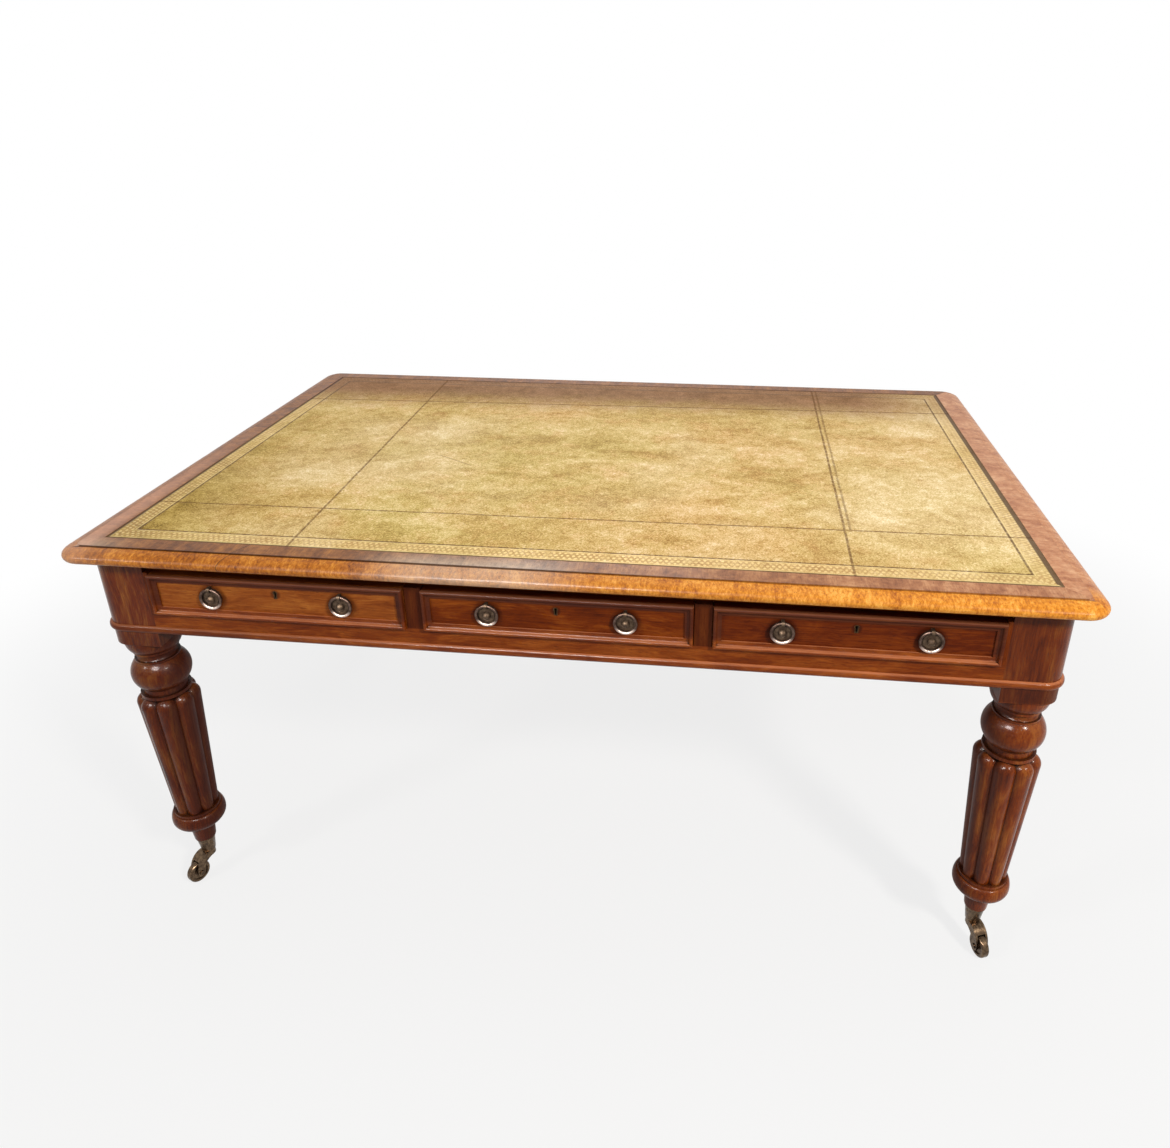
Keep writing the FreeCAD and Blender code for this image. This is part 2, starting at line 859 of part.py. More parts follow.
def moulding_length(length, across):
    """A mitred bead and cove along X, its outer edge at the origin, facing -Y."""
    bead_start = point(0, -moulding_bead_side, 0)
    bead_nose = point(0, -moulding_projection, moulding_bead_width / 2)
    bead_end = point(0, -moulding_bead_side, moulding_bead_width)
    cove_end = point(0, -moulding_lip, moulding_width - moulding_lip_width)
    section = outline([
        [origin, bead_start],
        quarter(bead_start, point(0, -moulding_projection, 0), bead_nose),
        quarter(bead_nose, point(0, -moulding_projection, moulding_bead_width), bead_end),
        quarter(bead_end, point(0, -moulding_lip, moulding_bead_width), cove_end),
        [point(0, -moulding_lip, moulding_width), point(0, 0, moulding_width), origin],
    ])
    section.translate(along_x * (-length / 2))
    strip = section.extrude(along_x * length)
    half = length / 2
    mitre = polygon([
        point(-half, 0, 0),
        point(half, 0, 0),
        point(half - moulding_width, 0, moulding_width),
        point(moulding_width - half, 0, moulding_width),
    ])
    mitre.translate(along_y * -moulding_projection)
    shape = strip.common(mitre.extrude(along_y * moulding_projection))
    shape.translate(up * (-across / 2))
    return shape


def drawer_moulding(x):
    """Four mitred lengths round the edge of the drawer front."""
    height = drawer_top - drawer_floor
    lengths = []
    for number in range(4):
        sizes = (drawer_width, height)
        if number % 2:
            sizes = (height, drawer_width)
        piece = moulding_length(sizes[0], sizes[1])
        piece.rotate(origin, along_y, 90 * number)
        piece.translate(point(x, front_face, drawer_middle))
        lengths.append(piece)
    return Part.makeCompound(lengths)


def pull_rose(x):
    """Rose, boss, knuckle, bolt and nut of one pull."""
    def disc(radius, start, end):
        return Part.makeCylinder(radius, end - start, point(x, start, pull_height), along_y)

    plate_face = front_face - rose_thickness
    step_face = plate_face - rose_step_height
    tip = plate_face - boss_height
    shoulder = point(boss_radius, step_face, 0)
    crown = point(0, tip, 0)
    dome_side = outline([
        [point(0, step_face, 0), shoulder],
        quarter(shoulder, point(boss_radius, tip, 0), crown),
        [point(0, step_face, 0)],
    ])
    dome = dome_side.revolve(origin, along_y, 360)
    dome.translate(point(x, 0, pull_height))
    pivot = pull_height + ring_centre_radius
    bore = ring_wire_radius + knuckle_clearance
    outer = bore + knuckle_wall
    left = x - knuckle_width / 2
    knuckle = Part.makeCylinder(outer, knuckle_width, point(left, ring_y, pivot), along_x)
    web = block(left, left + knuckle_width, ring_y, front_face, pivot - outer, pivot + outer)
    eye = Part.makeCylinder(bore, knuckle_width + 2 * overrun, point(left - overrun, ring_y, pivot), along_x)
    nut_start = drawer_front_back
    pieces = [
        disc(rose_step_radius, step_face, plate_face),
        dome,
        knuckle,
        web,
        disc(pull_bolt_radius, front_face, nut_start),
        disc(pull_nut_radius, nut_start, nut_start + pull_nut_thickness),
    ]
    shape = joined(disc(rose_radius, plate_face, front_face), pieces)
    return shape.cut(eye).removeSplitter()


def drawer_roses(x):
    return Part.makeCompound([pull_rose(x + side * pull_spacing / 2) for side in (-1, 1)])


def pull_ring(x, side):
    centre = point(x + side * pull_spacing / 2, ring_y, pull_height)
    return Part.makeTorus(ring_centre_radius, ring_wire_radius, centre, along_y)


# Every piece of the table, by the name of its node

def pieces():
    found = {
        "top_panel": top_panel(),
        "top_border_front": border_side(half_width, half_depth),
        "top_border_back": turned(border_side(half_width, half_depth), 180),
        "top_border_ends": Part.makeCompound([border_end(-1), border_end(1)]),
        "leather_inset": leather(),
        "front_rail": front_rail(),
        "front_top_rail": top_rail(),
        "back_frieze": back_frieze(),
        "end_frieze_left": end_frieze(-1),
        "end_frieze_right": end_frieze(1),
        "drawer_uprights": uprights(),
        "drawer_runners": runners(),
        "drawer_stops": stops(),
        "frieze_beads": beads(),
        "glue_blocks": glue_blocks(),
        "castor_cups": Part.makeCompound([cup(place) for place in leg_places]),
        "castor_screws": Part.makeCompound([s for place in leg_places for s in cup_screws(place)]),
    }
    blank = leg_blank()
    for place in leg_places:
        found["leg_" + place] = leg(blank, place)
        found["castor_horn_" + place] = horn(place)
        found["castor_axle_" + place] = axle(place)
        found["castor_wheel_" + place] = wheel(place)
    for name, number in drawer_places.items():
        x = number * opening_step
        drawer = "drawer_" + name
        found[drawer + "_front"] = drawer_front(x)
        found[drawer + "_moulding"] = drawer_moulding(x)
        found[drawer + "_sides"] = drawer_sides(x)
        found[drawer + "_back"] = drawer_back(x)
        found[drawer + "_bottom"] = drawer_bottom(x)
        found[drawer + "_lock"] = drawer_lock(x)
        found[drawer + "_roses"] = drawer_roses(x)
        found[drawer + "_ring_left"] = pull_ring(x, -1)
        found[drawer + "_ring_right"] = pull_ring(x, 1)
    return found


os.makedirs("parts", exist_ok=True)
for node, shape in pieces().items():
    shape.exportStep("parts/" + node + ".step")
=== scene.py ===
import math

import bpy
from mathutils import Matrix, Vector


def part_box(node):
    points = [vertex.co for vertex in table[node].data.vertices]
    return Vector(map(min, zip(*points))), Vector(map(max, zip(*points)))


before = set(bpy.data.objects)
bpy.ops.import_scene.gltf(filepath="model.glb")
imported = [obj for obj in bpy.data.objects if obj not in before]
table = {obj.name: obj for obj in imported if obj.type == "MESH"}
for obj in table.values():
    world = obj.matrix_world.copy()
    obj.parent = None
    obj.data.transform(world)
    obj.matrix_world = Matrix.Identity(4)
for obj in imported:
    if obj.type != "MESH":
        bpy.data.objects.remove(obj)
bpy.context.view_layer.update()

scene = bpy.context.scene
scene.view_settings.view_transform = "Standard"

drawers = ["left", "centre", "right"]
leg_places = ["front_left", "front_right", "back_left", "back_right"]

# Sizes and places of the top, from its solids, in metres
top_half_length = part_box("top_border_ends")[1].x
top_half_depth = -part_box("top_border_front")[0].y
top_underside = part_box("top_border_front")[0].z
leather_edge = top_half_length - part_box("leather_inset")[1].x

# Distances in from the outer edge of the top, in metres
thumb_width = 0.026
band_middle = 0.0755
tooled_line_in = 0.092

# The tooled band, in metres, and then in shares of its half width
band_half = 0.0125
band_repeat = 0.018
band_ground_half = 0.0155
wave_share = 0.56
sprig_share = 0.62
fillet_share = 1.04

# Lines on the top, each with its half width and its soft edge, in metres
quirk_line = (0.0009, 0.0012)
scarf_line = (0.0005, 0.0008)
side_seam = (0.0013, 0.0016)
second_seam = (0.0011, 0.0020)
front_seam = (0.0013, 0.0014)
back_seam = (0.0015, 0.0016)
tooled_line = (0.0012, 0.0014)
scratch_line = (0.0005, 0.0010)

# The shadow round the leather, in metres: wider at the ends, most of all at the right
shadow_width = 0.0040
end_shadow_extra = 0.0020
right_shadow_extra = 0.0030

# Places of joints, seams, marks and painted light and shade, in metres from the floor under the
# middle of the top
left_seam_x = -0.449
right_seam_x = 0.4475
second_seam_x = 0.4570
front_seam_y = -0.3135
back_seam_y = 0.302
scarf_place = (-0.4882, -0.4514)
scratch_place = (-0.318, -0.049)
divider_reach = 0.53
lower_moulding_top = 0.635
ring_lit_height = 0.643
post_foot = 0.575
leg_block_middle = 0.565

# Directions along x and y, slants of seams, and the scratch's run in metres
scarf_across = (0.898, -0.440)
scratch_along = (0.852, -0.523)
left_seam_slant = 0.030
front_seam_slant = 0.0107
back_seam_slant = 0.028
scratch_middle = 0.044
scratch_half_length = 0.040

# Stretches along x or y over which a tone, painted light or painted shade grows from none to full,
# in metres
bead_dark_x = (-0.15, -0.65)
border_glow_x = (-0.2, 0.75)
thumb_lit_x = (-0.25, 0.45)
near_front_y = (-0.440, -0.505)
glare_corner_x = (-0.66, -0.79)
end_glare_x = (-0.735, -0.760)
end_glare_y = (0.20, -0.45)
quirk_fade_x = (-0.10, 0.45)
front_tan_y = (0.0, -0.35)
far_tan_y = (-0.10, 0.25)
lit_right_x = (0.15, 0.60)
glare_front_x = (0.38, 0.60)
left_shade_x = (-0.46, -0.74)
left_shade_y = (0.00, -0.36)
far_side_y = (0.215, 0.400)
far_side_x = (0.74, 0.52)

# Middles of patches on the top, in metres: painted highlights, a tan patch and a pale patch
glare_middle_x = -0.13
tan_patch_x = 0.22
left_pale_place = (-0.43, -0.02)
glare_front_y = -0.20

# Grime round the roses and keyholes of the drawer fronts, in metres
rose_grime_reach = 0.027
rose_grime_core = 0.018
keyhole_rise = 0.011
keyhole_grime_reach = 0.010
keyhole_grime_core = 0.004

# Mahogany tones, as linear red, green and blue
frieze_tones = dict(
    pale=(0.330, 0.085, 0.010), red=(0.170, 0.030, 0.002), dark=(0.075, 0.010, 0.001)
)
# The drawer fronts darken from left to right: painted light and shade.
lit_and_shaded_drawer_tones = {
    "left": dict(
        pale=(0.420, 0.140, 0.024), red=(0.250, 0.062, 0.009), dark=(0.120, 0.022, 0.003)
    ),
    "centre": dict(
        pale=(0.285, 0.068, 0.006), red=(0.138, 0.022, 0.001), dark=(0.060, 0.008, 0.001)
    ),
    "right": dict(
        pale=(0.205, 0.040, 0.003), red=(0.096, 0.013, 0.001), dark=(0.040, 0.005, 0.001)
    ),
}
# The left legs are darker than the right ones: painted shade and painted light.
lit_and_shaded_leg_tones = {
    "left": dict(
        pale=(0.285, 0.094, 0.014), red=(0.128, 0.019, 0.001), dark=(0.034, 0.004, 0.001)
    ),
    "right": dict(
        pale=(0.315, 0.098, 0.014), red=(0.164, 0.028, 0.002), dark=(0.042, 0.005, 0.001)
    ),
}
# Paler colour of upward faces: wear and painted light from above
rubbed_and_lit_edge = (0.560, 0.200, 0.085)

# Top border tones, each with its place on the grain's scale from dark to pale
flat_border = [
    (0.36, (0.090, 0.028, 0.007)), (0.50, (0.205, 0.074, 0.018)), (0.66, (0.375, 0.152, 0.034))
]
lit_border = [
    (0.33, (0.260, 0.082, 0.032)), (0.50, (0.470, 0.208, 0.098)), (0.69, (0.690, 0.395, 0.220))
]
golden_thumb = [
    (0.34, (0.130, 0.026, 0.002)), (0.50, (0.400, 0.122, 0.008)), (0.68, (0.690, 0.290, 0.040))
]
# The thumb painted paler towards the right: painted light
lit_thumb = [
    (0.34, (0.290, 0.066, 0.004)), (0.50, (0.620, 0.222, 0.016)), (0.68, (0.860, 0.440, 0.085))
]
# Pale and rosy painted highlights on the front and the left end of the border
pale_glare = (0.760, 0.650, 0.510)
rosy_glare = (0.640, 0.340, 0.225)
border_pores = (0.050, 0.014, 0.006)
quirk_shadow = (0.030, 0.009, 0.003)
scarf_shadow = (0.040, 0.012, 0.005)
underside_brown = (0.060, 0.016, 0.007)

# Bare wood tones, pale and dark
pine_tones = ((0.560, 0.380, 0.205), (0.330, 0.190, 0.085))
oak_tones = ((0.500, 0.330, 0.170), (0.290, 0.170, 0.080))

# Leather tones: four shades of each, from its darkest flecks to its palest
shade_places = (0.30, 0.46, 0.56, 0.74)
olive_shades = [
    (0.258, 0.158, 0.030), (0.469, 0.338, 0.091), (0.592, 0.446, 0.151), (0.845, 0.693, 0.391)
]
tan_shades = [
    (0.319, 0.152, 0.033), (0.546, 0.334, 0.101), (0.675, 0.454, 0.189), (0.875, 0.688, 0.466)
]
# Pale shades: faded patches, painted light at the right and a painted highlight at the front right
faded_and_lit_shades = [
    (0.422, 0.263, 0.101), (0.639, 0.467, 0.214), (0.757, 0.588, 0.321), (0.930, 0.819, 0.580)
]
# Brown shades: the painted shade at the left
painted_shade_browns = [
    (0.125, 0.070, 0.009), (0.290, 0.182, 0.032), (0.405, 0.272, 0.060), (0.600, 0.440, 0.140)
]
far_side_brown = [(0.30, (0.098, 0.036, 0.010)), (0.70, (0.300, 0.140, 0.060))]
band_ground = (0.620, 0.440, 0.200)
stamped_brown = (0.360, 0.190, 0.080)
gilt_yellow = (0.800, 0.610, 0.280)
seam_brown = (0.130, 0.062, 0.025)
tooled_brown = (0.090, 0.042, 0.020)
edge_shadow = (0.060, 0.024, 0.014)
scratch_brown = (0.200, 0.110, 0.040)

# Brass tones that all the brass shares
# Lighter brass of the lower part of a ring: painted light
lit_brass = (0.560, 0.440, 0.380)
brass_grime = (0.050, 0.026, 0.012)

# The camera's place in metres, and its pitch, yaw and roll in degrees
camera_place = (0.252398, -1.6345, 1.373598)
camera_turns = (23.8404, -6.6752, -0.1859)

# Its view in pixels of a picture of this size, and its sensor in millimetres
picture_width = 1170
picture_height = 1148
picture_middle = (631.7274, 496.2094)
focal_length = 880.2547
sensor_width = 36.0


# Shader sums

class Wire:
    """A shader socket that can be used in sums."""

    def __init__(self, workings, socket):
        self.workings = workings
        self.socket = socket

    def sum(self, operation, *terms, clamp=False):
        settings = {"operation": operation, "use_clamp": clamp}
        return self.workings.node("ShaderNodeMath", settings, dict(enumerate(terms)))

    def __add__(self, other):
        return self.sum("ADD", self, other)

    def __radd__(self, other):
        return self.sum("ADD", other, self)

    def __sub__(self, other):
        return self.sum("SUBTRACT", self, other)

    def __rsub__(self, other):
        return self.sum("SUBTRACT", other, self)

    def __mul__(self, other):
        return self.sum("MULTIPLY", self, other)

    def __rmul__(self, other):
        return self.sum("MULTIPLY", other, self)

    def __truediv__(self, other):
        return self.sum("DIVIDE", self, other)

    def __rtruediv__(self, other):
        return self.sum("DIVIDE", other, self)

    def __abs__(self):
        return self.sum("ABSOLUTE", self)

    def __lt__(self, other):
        return self.sum("LESS_THAN", self, other)

    def __gt__(self, other):
        return self.sum("GREATER_THAN", self, other)

    def least(self, other):
        return self.sum("MINIMUM", self, other)

    def most(self, other):
        return self.sum("MAXIMUM", self, other)

    def sine(self):
        return self.sum("SINE", self)

    def wrapped(self, length):
        return self.sum("PINGPONG", self, length)

    def clamped(self):
        return self.sum("ADD", self, 0.0, clamp=True)

    def ramp(self, low, high):
        """0 below low, 1 above high, smooth between; low may be the larger."""
        return self.workings.node(
            "ShaderNodeMapRange",
            {"interpolation_type": "SMOOTHSTEP"},
            {"Value": self, "From Min": low, "From Max": high},
        )

    def stroke(self, half_width, soft):
        """1 where the value is nearly zero: a drawn line."""
        return abs(self).ramp(half_width + soft, half_width)


class Workings:
    """A node tree, built node by node."""

    def __init__(self, tree):
        self.tree = tree
        self.tree.nodes.clear()

    def node(self, kind, settings, sockets, output=0):
        made = self.tree.nodes.new(kind)
        for name, value in settings.items():
            if name == "stops":
                self.set_stops(made.color_ramp, value)
            else:
                setattr(made, name, value)
        for name, value in sockets.items():
            if isinstance(value, Wire):
                self.tree.links.new(value.socket, made.inputs[name])
            else:
                made.inputs[name].default_value = value
        if made.outputs:
            return Wire(self, made.outputs[output])

    def set_stops(self, ramp, stops):
        while len(ramp.elements) < len(stops):
            ramp.elements.new(1.0)
        for element, (position, colour) in zip(ramp.elements, stops):
            element.position = position
            element.color = (*colour, 1.0)

    def sees_background(self):
        """1 for rays from the camera and for mirrored or passing rays."""
        rays = [
            self.node("ShaderNodeLightPath", {}, {}, kind)
            for kind in ("Is Camera Ray", "Is Glossy Ray", "Is Transmission Ray")
        ]
        return rays[0].most(rays[1]).most(rays[2])


class Finish(Workings):
    """A procedural material in the table's own frame."""

    def __init__(self, name):
        self.material = bpy.data.materials.new(name)
        self.material.use_nodes = True
        super().__init__(self.material.node_tree)
        self.place = self.node("ShaderNodeTexCoord", {}, {}, "Object")

    def place_on(self, axis):
        """The place along one of the table's axes, in metres."""
        return self.node("ShaderNodeSeparateXYZ", {}, {0: self.place}, axis)

    def stretched(self, scales, source=None):
        settings = {"operation": "MULTIPLY"}
        return self.node("ShaderNodeVectorMath", settings, {0: source or self.place, 1: scales})

    def shifted(self, offset):
        return self.node("ShaderNodeVectorMath", {"operation": "ADD"}, {0: self.place, 1: offset})

    def noise(self, source, scale, detail=3.0, rough=0.55, twist=0.0):
        sockets = {
            "Vector": source,
            "Scale": scale,
            "Detail": detail,
            "Roughness": rough,
            "Distortion": twist,
        }
        return self.node("ShaderNodeTexNoise", {}, sockets, "Fac")

    def pebbles(self, scale):
        sockets = {"Vector": self.place, "Scale": scale}
        return self.node("ShaderNodeTexVoronoi", {"feature": "SMOOTH_F1"}, sockets, "Distance")

    def colours(self, value, stops):
        return self.node("ShaderNodeValToRGB", {"stops": stops}, {"Fac": value}, "Color")

    def mix(self, share, first, second):
        """The first colour, with a share of the second over it."""
        first, second = (
            colour if isinstance(colour, Wire) else (*colour, 1.0) for colour in (first, second)
        )
        settings = {"data_type": "RGBA", "blend_type": "MIX"}
        return self.node("ShaderNodeMix", settings, {0: share, 6: first, 7: second}, 2)

    def hollows(self, reach):
        """1 in creases and corners, 0 on open faces."""
        settings = {"samples": 6, "only_local": True}
        openness = self.node("ShaderNodeAmbientOcclusion", settings, {"Distance": reach}, "AO")
        return (1.0 - openness).clamped()

    def facing(self, axis):
        """How far the surface faces along an axis, from -1 to 1."""
        normal = self.node("ShaderNodeNewGeometry", {}, {}, "Normal")
        return self.node("ShaderNodeSeparateXYZ", {}, {0: normal}, axis)

    def bump(self, height, depth, strength):
        sockets = {"Strength": strength, "Distance": depth, "Height": height}
        return self.node("ShaderNodeBump", {}, sockets)

    def surface(self, **sockets):
        named = {name.replace("_", " "): value for name, value in sockets.items()}
        shader = self.node("ShaderNodeBsdfPrincipled", {}, named)
        self.node("ShaderNodeOutputMaterial", {}, {"Surface": shader})
        return self.material


def deepened(colour, share):
    return tuple(part * share for part in colour)


# Woods

def grain_scales(grain, across_scale, along_scale):
    return tuple(along_scale if axis == grain else across_scale for axis in "XYZ")


def wood_marks(finish, grain):
    """Broad mottled figure, fine streaks and dark pores of a board cut along one axis."""
    lean = finish.noise(finish.place, 4.3, 3.0)
    wander = finish.node(
        "ShaderNodeVectorMath", {"operation": "SCALE"}, {0: (0.030, 0.030, 0.030), "Scale": lean}
    )
    bent = finish.shifted(wander)
    broad = finish.stretched(grain_scales(grain, 30.0, 8.0), bent)
    fine = finish.stretched(grain_scales(grain, 380.0, 16.0), bent)
    short = finish.stretched(grain_scales(grain, 1300.0, 90.0))
    figure = finish.noise(broad, 1.0, 5.0, 0.62, 0.9)
    streaks = finish.noise(fine, 1.0, 3.0, 0.62)
    pores = finish.noise(short, 1.0, 2.0, 0.5).ramp(0.58, 0.70)
    return figure, streaks, pores


def mahogany(
    name, grain, pale, red, dark, polish, sheen, rubbed=0.0, darkened=None, grime_and_shade_reach=0.014
):
    """Polished wood, with dirt and painted shade in its creases, and its upward faces painted
    paler, as rubbed and lit from above.

    The function darkened, where there is one, says which faces are dark and dull: painted shade,
    but on the drawer fronts dirt round the brass."""
    finish = Finish(name)
    figure, streaks, pores = wood_marks(finish, grain)
    tone = (figure * 0.80 + streaks * 0.46 - 0.13).clamped()
    colour = finish.colours(tone, [(0.26, dark), (0.48, red), (0.74, pale)])
    colour = finish.mix(pores * 0.55, colour, deepened(dark, 0.4))
    # Upward faces painted paler: partly wear, partly painted light from above.
    if rubbed:
        upper = finish.facing("Z").ramp(0.35, 0.90) * (0.5 + figure) * rubbed
        colour = finish.mix(upper, colour, rubbed_and_lit_edge)
    # Creases darkened: dirt and painted shade.
    grime_and_shade = finish.hollows(grime_and_shade_reach)
    handled = finish.noise(finish.place, 19.0, 4.0, 0.65)
    roughness = polish + handled * 0.16 + pores * 0.12 + grime_and_shade * 0.25
    if darkened:
        dull = darkened(finish)
        colour = finish.mix(dull, colour, deepened(dark, 0.6))
        roughness = roughness + dull * dull * 0.75
    colour = finish.mix(grime_and_shade.ramp(0.10, 0.65) * 0.92, colour, deepened(dark, 0.2))
    return finish.surface(
        Base_Color=colour,
        Roughness=roughness,
        Normal=finish.bump(streaks * 0.35 - pores * 0.8, depth=0.00025, strength=0.5),
        Specular_IOR_Level=sheen,
        Coat_Weight=sheen * 0.6,
        Coat_Roughness=0.10,
    )


def darkened_dividers(finish):
    """Painted shade on the dividers between the drawers, not on the stiles against the posts."""
    reach = abs(finish.place_on("X"))
    return reach.ramp(divider_reach + 0.03, divider_reach - 0.03) * 0.72


def darkened_mouldings(finish):
    """Painted shade on the upper and side runs of a drawer's moulding."""
    height = finish.place_on("Z")
    return height.ramp(lower_moulding_top - 0.005, lower_moulding_top + 0.005) * 0.70


def darkened_beads(finish):
    """Painted shade on the left part of the bead."""
    return finish.place_on("X").ramp(*bead_dark_x) * 0.42


def middle(node):
    low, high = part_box(node)
    return (low + high) / 2


def darkened_front(drawer):
    """Grime on a drawer front, round its two roses and its keyhole."""
    front = middle(f"drawer_{drawer}_front")
    pull = middle(f"drawer_{drawer}_ring_right")

    def darkened(finish):
        aside = finish.place_on("X") - front.x
        height = finish.place_on("Z")
        beside = abs(aside) - (pull.x - front.x)
        below = height - pull.z
        above = height - (front.z + keyhole_rise)
        from_rose = beside * beside + below * below
        from_keyhole = aside * aside + above * above
        round_roses = from_rose.ramp(rose_grime_reach ** 2, rose_grime_core ** 2)
        round_keyhole = from_keyhole.ramp(keyhole_grime_reach ** 2, keyhole_grime_core ** 2)
        return (round_roses * 0.65).most(round_keyhole * 0.75)

    return darkened


def inward(finish):
    """Faces turned to the middle of the table."""
    on_right = finish.place_on("X") > 0.0
    return (finish.facing("X") * (1.0 - 2.0 * on_right)).ramp(0.10, 0.95)


def downward(finish):
    """Faces turned to the floor."""
    return finish.facing("Z").ramp(-0.10, -0.75)


def darkened_left_legs(finish):
    """Painted shade on inward and downward faces, and on all that is turned below the post."""
    turned = finish.place_on("Z").ramp(post_foot + 0.010, post_foot - 0.010)
    return (inward(finish) * 0.76).most(downward(finish) * 0.66).most(turned * 0.30)


def darkened_right_legs(finish):
    """Painted shade on inward and downward faces and the post, and most of all on its foot."""
    height = finish.place_on("Z")
    post = height.ramp(post_foot - 0.010, post_foot + 0.010)
    block = (height - leg_block_middle).stroke(0.012, 0.004)
    turned_away = (inward(finish) * 0.66).most(downward(finish) * 0.60)
    return turned_away.most(post * 0.30).most(block * 0.62)


def border_wood(name, grain, gold, quirk_depth, right_glow):
    """Crossbanded top border: red-brown flat inside, paler moulded edge outside."""
    finish = Finish(name)
    x, y, z = (finish.place_on(axis) for axis in "XYZ")
    edge = (top_half_length - abs(x)).least(top_half_depth - abs(y))
    figure, streaks, pores = wood_marks(finish, grain)

    mottle = finish.noise(finish.place, 75.0, 4.0, 0.66, 0.4)
    tone = (figure * 0.42 + mottle * 0.46 + streaks * 0.22 - 0.05).clamped()
    glow = x.ramp(*border_glow_x) * right_glow
    flat = finish.mix(glow, finish.colours(tone, flat_border), finish.colours(tone, lit_border))

    speckle = finish.noise(finish.stretched((260.0, 130.0, 130.0)), 1.0, 4.0, 0.7)
    gold_tone = (figure * 0.42 + speckle * 0.62 - 0.02).clamped()
    golden = finish.colours(gold_tone, golden_thumb)
    lit_golden = finish.colours(gold_tone, lit_thumb)
    # The thumb grows paler towards the right: painted light.
    golden = finish.mix(x.ramp(*thumb_lit_x), golden, lit_golden)
    thumb = edge.ramp(thumb_width + 0.0006, thumb_width - 0.0006)
    near_front = y.ramp(*near_front_y)
    colour = finish.mix(thumb * (gold + near_front * (1.0 - gold)), flat, golden)

    # Paler at the front middle, the front-left corner and the left end: painted highlights.
    glare_middle = (x - glare_middle_x).stroke(0.06, 0.15) * near_front * (1.0 - thumb * 0.25)
    glare_corner = x.ramp(*glare_corner_x) * near_front * (1.0 - thumb * 0.7)
    rubbed = glare_middle.most(glare_corner) * (0.06 + tone * 0.70)
    colour = finish.mix(rubbed, colour, pale_glare)
    left_end_glare = x.ramp(*end_glare_x) * y.ramp(*end_glare_y)
    rosy = left_end_glare * (1.0 - thumb * 0.7) * (0.22 + tone * 0.62)
    colour = finish.mix(rosy, colour, rosy_glare)
    colour = finish.mix(pores * 0.5, colour, border_pores)

    # The painted quirk shadow grows weaker towards the right.
    faded = x.ramp(*quirk_fade_x) * 0.45
    quirk = (edge - thumb_width).stroke(*quirk_line) * (1.0 - faded)
    colour = finish.mix(quirk * quirk_depth, colour, quirk_shadow)
    over, up = x - scarf_place[0], y - scarf_place[1]
    from_scarf = over * scarf_across[0] + up * scarf_across[1]
    scarf = from_scarf.stroke(*scarf_line) * (y < -0.40) * (x < -0.40)
    colour = finish.mix(scarf * 0.7, colour, scarf_shadow)
    under = z.ramp(top_underside + 0.0025, top_underside + 0.0005)
    colour = finish.mix(under * 0.8, colour, underside_brown)

    handled = finish.noise(finish.place, 15.0, 4.0, 0.65)
    return finish.surface(
        Base_Color=colour,
        Roughness=0.26 + handled * 0.2 + pores * 0.1,
        Normal=finish.bump(streaks * 0.3 - pores * 0.7, depth=0.0003, strength=0.5),
        Specular_IOR_Level=0.14,
        Coat_Weight=0.06,
        Coat_Roughness=0.12,
    )


def bare_wood(name, grain, tones):
    """Unpolished secondary wood inside the carcase and drawers."""
    pale, dark = tones
    finish = Finish(name)
    figure, streaks, pores = wood_marks(finish, grain)
    tone = (figure * 0.55 + streaks * 0.5).clamped()
    colour = finish.colours(tone, [(0.25, dark), (0.75, pale)])
    colour = finish.mix(pores * 0.35, colour, deepened(dark, 0.5))
    # Creases and corners darkened: painted shade.
    colour = finish.mix(finish.hollows(0.020) * 0.7, colour, deepened(dark, 0.3))
    return finish.surface(
        Base_Color=colour,
        Roughness=0.62 + streaks * 0.2,
        Normal=finish.bump(streaks * 0.5 - pores, depth=0.0004, strength=0.6),
    )


# Leather

def leather_ground(finish, x, y, tone):
    """Mottled leather: olive, rubbed to tan and faded pale in places; paler at the right from
    painted light, with a painted highlight at the front right, and browner at the left from
    painted shade.
    """
    olive, tan, pale, brown = (
        finish.colours(tone, list(zip(shade_places, shades)))
        for shades in (olive_shades, tan_shades, faded_and_lit_shades, painted_shade_browns)
    )
    rubbed = finish.noise(finish.place, 3.4, 4.0).ramp(0.42, 0.64) * 0.55
    rosy = finish.noise(finish.shifted((9.0, 4.0, 0.0)), 21.0, 4.0).ramp(0.48, 0.66) * 0.40
    front_middle = (x - tan_patch_x).stroke(0.10, 0.42) * y.ramp(*front_tan_y) * 0.70
    far_tan = y.ramp(*far_tan_y) * 0.42
    colour = finish.mix((rubbed + rosy + front_middle + far_tan).clamped(), olive, tan)
    faded = finish.noise(finish.shifted((5.0, 2.0, 1.0)), 4.2, 4.0).ramp(0.50, 0.68) * 0.45
    over, up = x - left_pale_place[0], y - left_pale_place[1]
    pale_left = over.stroke(0.08, 0.16) * up.stroke(0.12, 0.14) * 0.34
    # Paler at the right: painted light. Paler at the front right: a painted highlight.
    lit_right = x.ramp(*lit_right_x) * 0.28
    glare_front = x.ramp(*glare_front_x) * (y - glare_front_y).stroke(0.10, 0.14) * 0.34
    colour = finish.mix((faded + pale_left + lit_right + glare_front).clamped(), colour, pale)
    # Browner at the left, most of all at the front: painted shade.
    shaded_left = x.ramp(*left_shade_x) * (0.28 + y.ramp(*left_shade_y) * 0.80)
    return finish.mix(shaded_left.clamped(), colour, brown)


